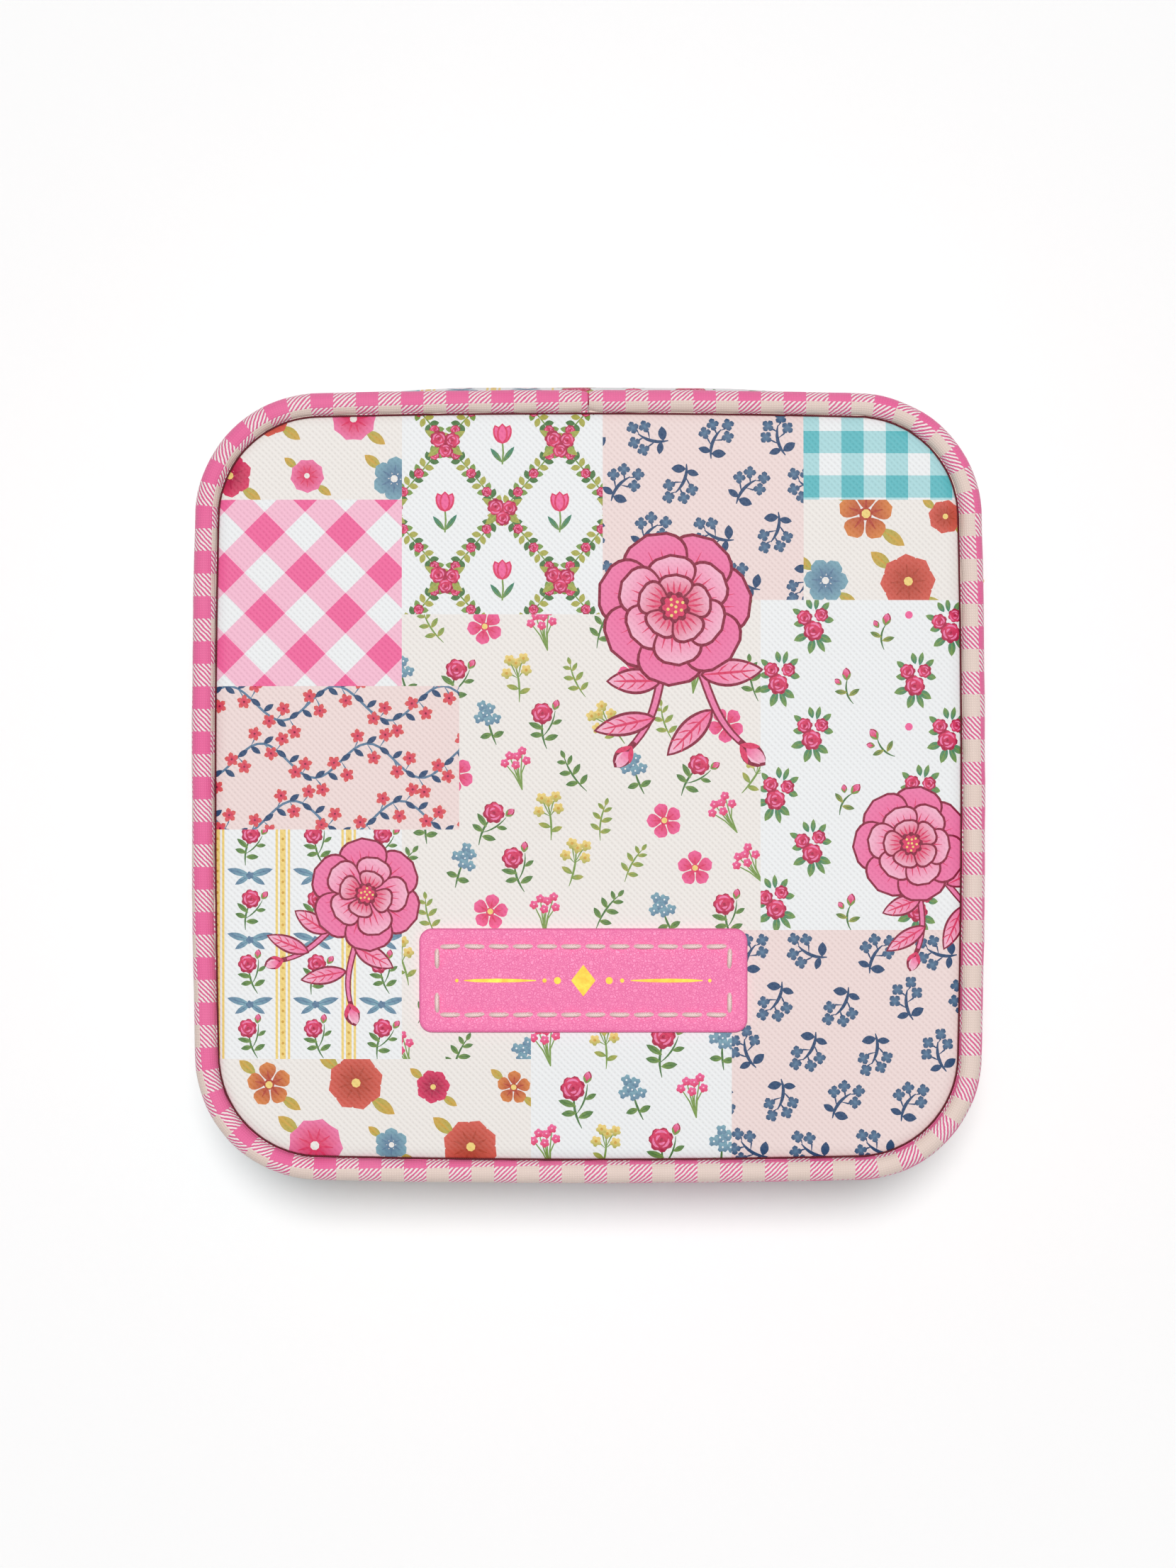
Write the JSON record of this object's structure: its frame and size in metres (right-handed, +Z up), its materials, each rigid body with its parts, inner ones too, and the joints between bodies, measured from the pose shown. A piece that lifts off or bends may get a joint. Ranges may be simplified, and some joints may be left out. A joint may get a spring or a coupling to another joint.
{
  "type": "jewelry case",
  "caption": "Square zip-round travel jewelry case with a padded printed lid, gingham piping, a lid mirror and a velvet tray with ring rolls.",
  "frame": {"origin": "middle of the flat underside, on the surface that the case rests on", "axes": "+Z up through the lid, +Y towards the hinge, +X to the right of someone facing the label"},
  "size_m": [0.1121, 0.1112, 0.056],
  "materials": {
    "printed_leatherette": "saffiano grain with a patchwork print",
    "gingham_piping": "pink and cream gingham, fine grain",
    "pink_leatherette": "pebbled grain",
    "velvet": "short pile velvet",
    "card": "plain grey card",
    "foam": "soft foam sheet",
    "zip_tape": "woven twill",
    "zip_metal": "bright pale gold",
    "mirror": "silvered glass"
  },
  "bodies": {
    "base": {"base_panel": "printed_leatherette", "base_piping": "gingham_piping", "base_gusset": "printed_leatherette", "base_board": "card", "base_frame": "velvet", "base_tape": "zip_tape", "base_chain": "zip_metal", "zip_bottom_stop": "zip_metal", "base_top_stop": "zip_metal", "divider_long": "velvet", "divider_front": "velvet", "divider_back": "velvet", "divider_ring": "velvet", "ring_bed": "velvet", "ring_roll_1": "velvet", "ring_roll_2": "velvet", "ring_roll_3": "velvet", "ring_roll_4": "velvet", "ring_roll_5": "velvet", "ring_roll_6": "velvet", "spine": "printed_leatherette", "hinge_lining": "velvet"},
    "lid": {"lid_panel": "printed_leatherette", "lid_foam": "foam", "lid_label": "pink_leatherette", "lid_piping": "gingham_piping", "lid_gusset": "printed_leatherette", "lid_board": "card", "lid_lining": "velvet", "mirror_frame": "velvet", "mirror": "mirror", "lid_tape": "zip_tape", "lid_chain": "zip_metal", "lid_top_stop": "zip_metal"},
    "slider": {"slider_body": "zip_metal"},
    "pull": {"pull_link": "zip_metal", "pull_tab": "pink_leatherette"}
  },
  "joints": [
    {"name": "lid_hinge", "type": "hinge", "parent": "base", "child": "lid", "pos_m": [0, 0.0537, 0.031], "axis": [-1, 0, 0], "range_deg": [0, 105], "deforming": ["spine", "hinge_lining"]},
    {"name": "zip_slide", "type": "slide", "parent": "base", "child": "slider", "axis": [0, -1, 0], "range_m": [0, 0.062], "deforming": ["base_chain", "lid_chain"]},
    {"name": "pull_swing", "type": "hinge", "parent": "slider", "child": "pull", "pos_m": [0.0557, 0.0296, 0.031], "axis": [0, -1, 0], "range_deg": [0, 150]}
  ]
}
